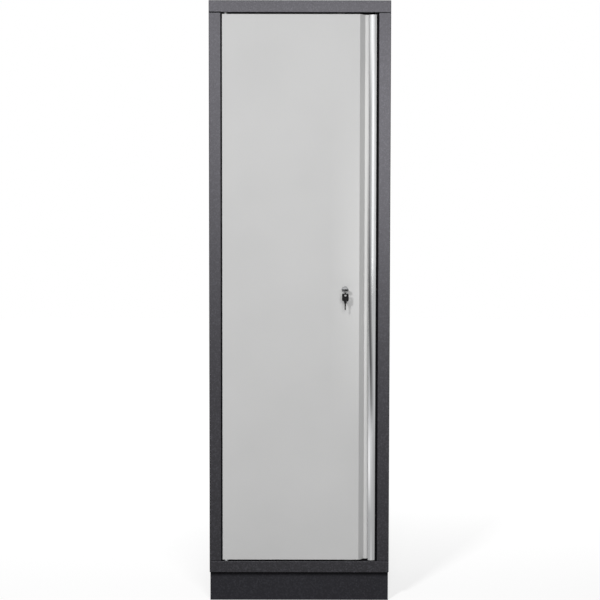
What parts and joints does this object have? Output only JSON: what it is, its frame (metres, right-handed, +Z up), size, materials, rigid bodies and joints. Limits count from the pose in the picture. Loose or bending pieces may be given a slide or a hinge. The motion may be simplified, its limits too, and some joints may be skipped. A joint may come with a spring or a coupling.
{
  "type": "tall storage cabinet",
  "caption": "Tall single-door sheet-steel storage cabinet on a plinth, with shelves, a full-height grip profile and a keyed rod lock.",
  "frame": {"origin": "on the floor, at the middle of the cabinet's back", "axes": "+Z up, -Y out of the door, +X to the right as seen from the front"},
  "size_m": [0.6, 0.5062, 2],
  "materials": {
    "dark_paint": "fine textured anthracite powder coat",
    "light_paint": "smooth light grey powder coat",
    "grip_aluminium": "bright drawn and polished",
    "zinc_steel": "zinc plated",
    "chrome": "polished",
    "key_steel": "nickel plated",
    "key_plastic": "moulded black",
    "nylon": "moulded dark nylon",
    "rubber": "matte"
  },
  "bodies": {
    "carcass": {"top_cap": "dark_paint", "base_pan": "dark_paint", "side_panel_left": "dark_paint", "side_panel_right": "dark_paint", "back_panel": "dark_paint", "plinth_front": "dark_paint", "plinth_rear": "dark_paint", "plinth_left": "dark_paint", "plinth_right": "dark_paint", "shelf_1": "zinc_steel", "shelf_2": "zinc_steel", "shelf_3": "zinc_steel", "shelf_4": "zinc_steel", "shelf_upright_front_left": "zinc_steel", "shelf_upright_front_right": "zinc_steel", "shelf_upright_rear_left": "zinc_steel", "shelf_upright_rear_right": "zinc_steel", "shelf_clips": "zinc_steel", "foot_brackets": "zinc_steel", "foot_nuts": "zinc_steel", "carcass_screws": "zinc_steel", "plinth_bolts": "zinc_steel", "back_rivets": "zinc_steel", "pivot_bush_top": "nylon", "pivot_bush_bottom": "nylon", "upper_rod_keeper": "nylon", "lower_rod_keeper": "nylon", "door_buffers": "rubber"},
    "door": {"door_skin": "light_paint", "door_stiffener": "light_paint", "grip_profile": "grip_aluminium", "pivot_pin_top": "zinc_steel", "pivot_pin_bottom": "zinc_steel", "pivot_block_top": "zinc_steel", "pivot_block_bottom": "zinc_steel", "lock_housing": "chrome", "lock_nut": "zinc_steel", "lock_case": "zinc_steel", "lock_case_cover": "zinc_steel", "lock_case_screws": "zinc_steel", "upper_rod_guide": "nylon", "lower_rod_guide": "nylon"},
    "lock_plug": {"lock_plug": "chrome", "pinion": "zinc_steel", "tail_screw": "zinc_steel"},
    "key": {"key_blade": "key_steel", "key_bow": "key_plastic", "key_ring": "key_steel"},
    "spare_key": {"spare_key_blade": "key_steel", "spare_key_bow": "key_plastic"},
    "upper_rod": {"upper_rod": "zinc_steel"},
    "lower_rod": {"lower_rod": "zinc_steel"},
    "foot_front_left": {"levelling_foot_front_left": "nylon"},
    "foot_front_right": {"levelling_foot_front_right": "nylon"},
    "foot_rear_left": {"levelling_foot_rear_left": "nylon"},
    "foot_rear_right": {"levelling_foot_rear_right": "nylon"}
  },
  "joints": [
    {"name": "door_swing", "type": "hinge", "parent": "carcass", "child": "door", "pos_m": [-0.2445, -0.449, 0.138], "axis": [0, 0, -1], "range_deg": [0, 115]},
    {"name": "lock_turn", "type": "hinge", "parent": "door", "child": "lock_plug", "pos_m": [0.151, -0.458, 1.04875], "axis": [0, 1, 0], "range_deg": [0, 90]},
    {"name": "upper_rod_slide", "type": "slide", "parent": "door", "child": "upper_rod", "axis": [0, 0, 1], "range_m": [0, 0.01414]},
    {"name": "lower_rod_slide", "type": "slide", "parent": "door", "child": "lower_rod", "axis": [0, 0, -1], "range_m": [0, 0.01414]},
    {"name": "key_withdraw", "type": "slide", "parent": "lock_plug", "child": "key", "axis": [0, -1, 0], "range_m": [0, 0.04]},
    {"name": "spare_key_swing", "type": "hinge", "parent": "key", "child": "spare_key", "pos_m": [0.151, -0.49643, 1.03105], "axis": [0, 1, 0], "range_deg": [-75, 75]},
    {"name": "foot_front_left_screw", "type": "slide", "parent": "carcass", "child": "foot_front_left", "axis": [0, 0, -1], "range_m": [0, 0.02]},
    {"name": "foot_front_right_screw", "type": "slide", "parent": "carcass", "child": "foot_front_right", "axis": [0, 0, -1], "range_m": [0, 0.02]},
    {"name": "foot_rear_left_screw", "type": "slide", "parent": "carcass", "child": "foot_rear_left", "axis": [0, 0, -1], "range_m": [0, 0.02]},
    {"name": "foot_rear_right_screw", "type": "slide", "parent": "carcass", "child": "foot_rear_right", "axis": [0, 0, -1], "range_m": [0, 0.02]}
  ],
  "couplings": [
    {"joint": "lock_turn", "follows": "upper_rod_slide", "rad_per_m": 111.11},
    {"joint": "lower_rod_slide", "follows": "upper_rod_slide", "ratio": 1}
  ]
}
